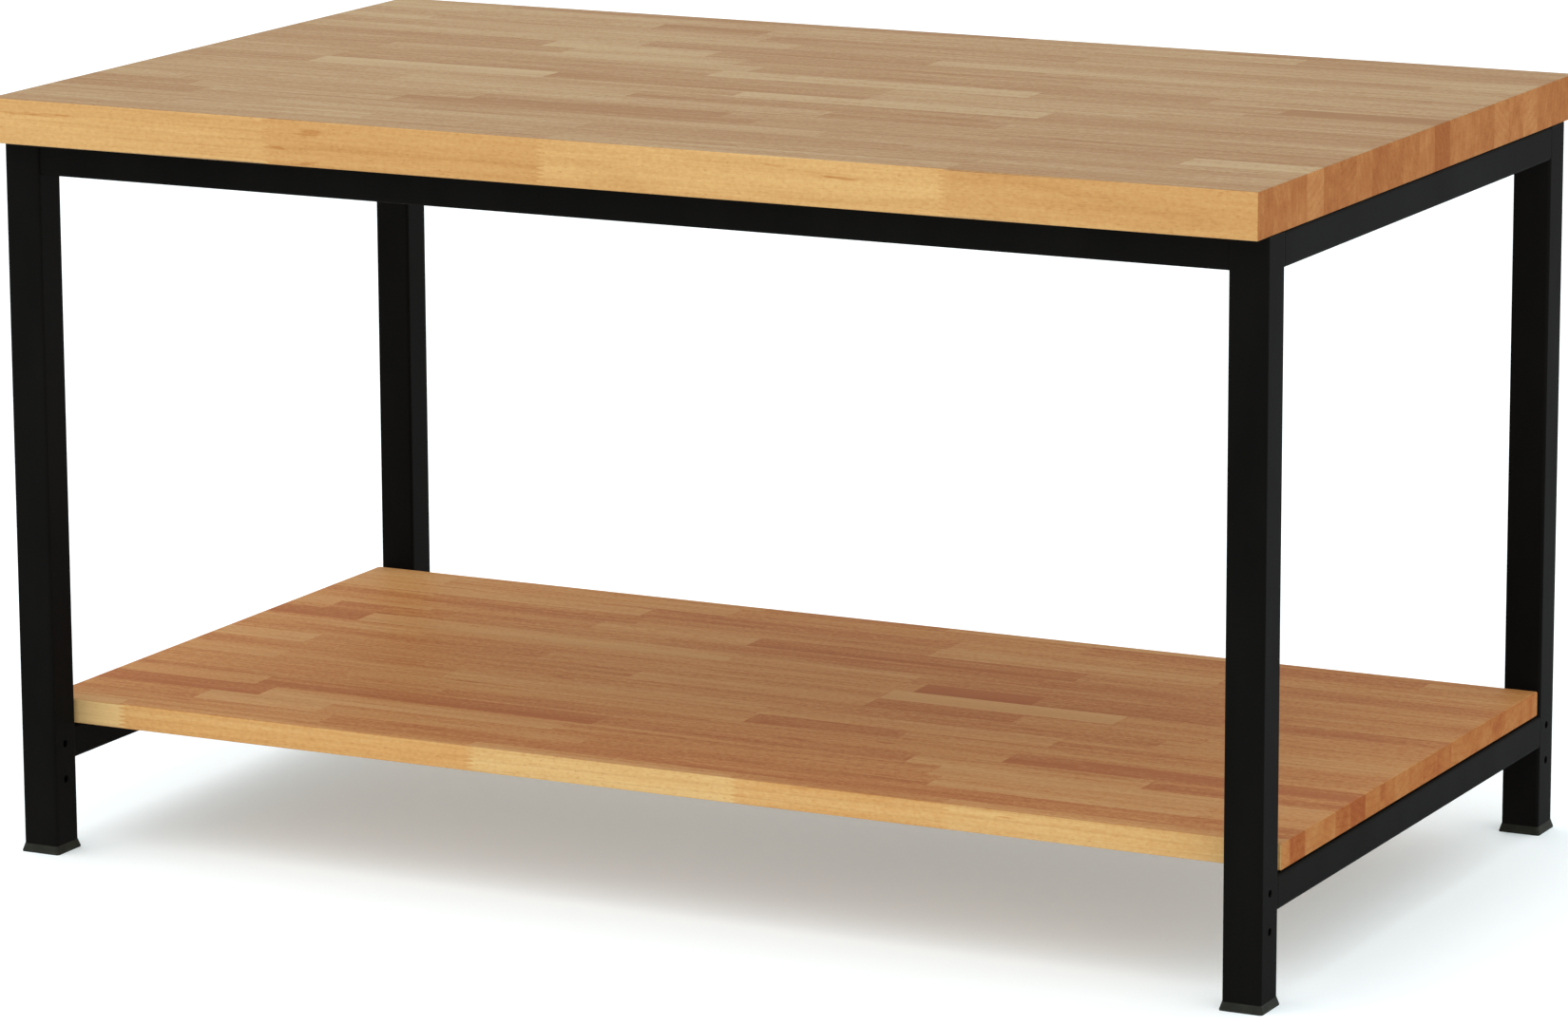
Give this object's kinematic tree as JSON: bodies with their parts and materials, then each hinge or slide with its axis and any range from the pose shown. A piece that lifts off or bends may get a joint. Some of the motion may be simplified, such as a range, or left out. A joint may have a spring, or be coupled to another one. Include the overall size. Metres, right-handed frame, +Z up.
{
  "type": "butcher block table",
  "caption": "Work table with a thick laminated butcher block top and a thinner lower shelf on a welded square-tube steel frame with flared feet.",
  "frame": {"origin": "on the floor, under the middle of the table", "axes": "+Z up, +X to the right along the length, the front long edge is towards -Y"},
  "size_m": [1.529, 0.9144, 0.87],
  "materials": {
    "worktop_beech": "satin clear oiled beech, edge-glued from finger-jointed staves",
    "shelf_beech": "satin clear oiled beech, edge-glued from finger-jointed staves",
    "frame_steel": "satin black powder coat",
    "foot_rubber": "matt dark moulded rubber",
    "zinc_screws": "zinc plated",
    "washers": "matt black moulded washer"
  },
  "bodies": {
    "root": {"apron_back": "frame_steel", "apron_front": "frame_steel", "apron_left": "frame_steel", "apron_right": "frame_steel", "foot_back_left": "foot_rubber", "foot_back_right": "foot_rubber", "foot_front_left": "foot_rubber", "foot_front_right": "foot_rubber", "leg_back_left": "frame_steel", "leg_back_right": "frame_steel", "leg_front_left": "frame_steel", "leg_front_right": "frame_steel", "lower_rail_left": "frame_steel", "lower_rail_right": "frame_steel", "shelf_screws": "zinc_screws", "shelf_strip_01": "shelf_beech", "shelf_strip_02": "shelf_beech", "shelf_strip_03": "shelf_beech", "shelf_strip_04": "shelf_beech", "shelf_strip_05": "shelf_beech", "shelf_strip_06": "shelf_beech", "shelf_strip_07": "shelf_beech", "shelf_strip_08": "shelf_beech", "shelf_strip_09": "shelf_beech", "shelf_strip_10": "shelf_beech", "shelf_strip_11": "shelf_beech", "shelf_strip_12": "shelf_beech", "shelf_strip_13": "shelf_beech", "shelf_strip_14": "shelf_beech", "shelf_strip_15": "shelf_beech", "shelf_strip_16": "shelf_beech", "shelf_strip_17": "shelf_beech", "shelf_strip_18": "shelf_beech", "shelf_strip_19": "shelf_beech", "shelf_washers": "washers", "worktop_screws": "zinc_screws", "worktop_strip_01": "worktop_beech", "worktop_strip_02": "worktop_beech", "worktop_strip_03": "worktop_beech", "worktop_strip_04": "worktop_beech", "worktop_strip_05": "worktop_beech", "worktop_strip_06": "worktop_beech", "worktop_strip_07": "worktop_beech", "worktop_strip_08": "worktop_beech", "worktop_strip_09": "worktop_beech", "worktop_strip_10": "worktop_beech", "worktop_strip_11": "worktop_beech", "worktop_strip_12": "worktop_beech", "worktop_strip_13": "worktop_beech", "worktop_strip_14": "worktop_beech", "worktop_strip_15": "worktop_beech", "worktop_strip_16": "worktop_beech", "worktop_strip_17": "worktop_beech", "worktop_strip_18": "worktop_beech", "worktop_strip_19": "worktop_beech", "worktop_strip_20": "worktop_beech", "worktop_strip_21": "worktop_beech"}
  },
  "joints": []
}
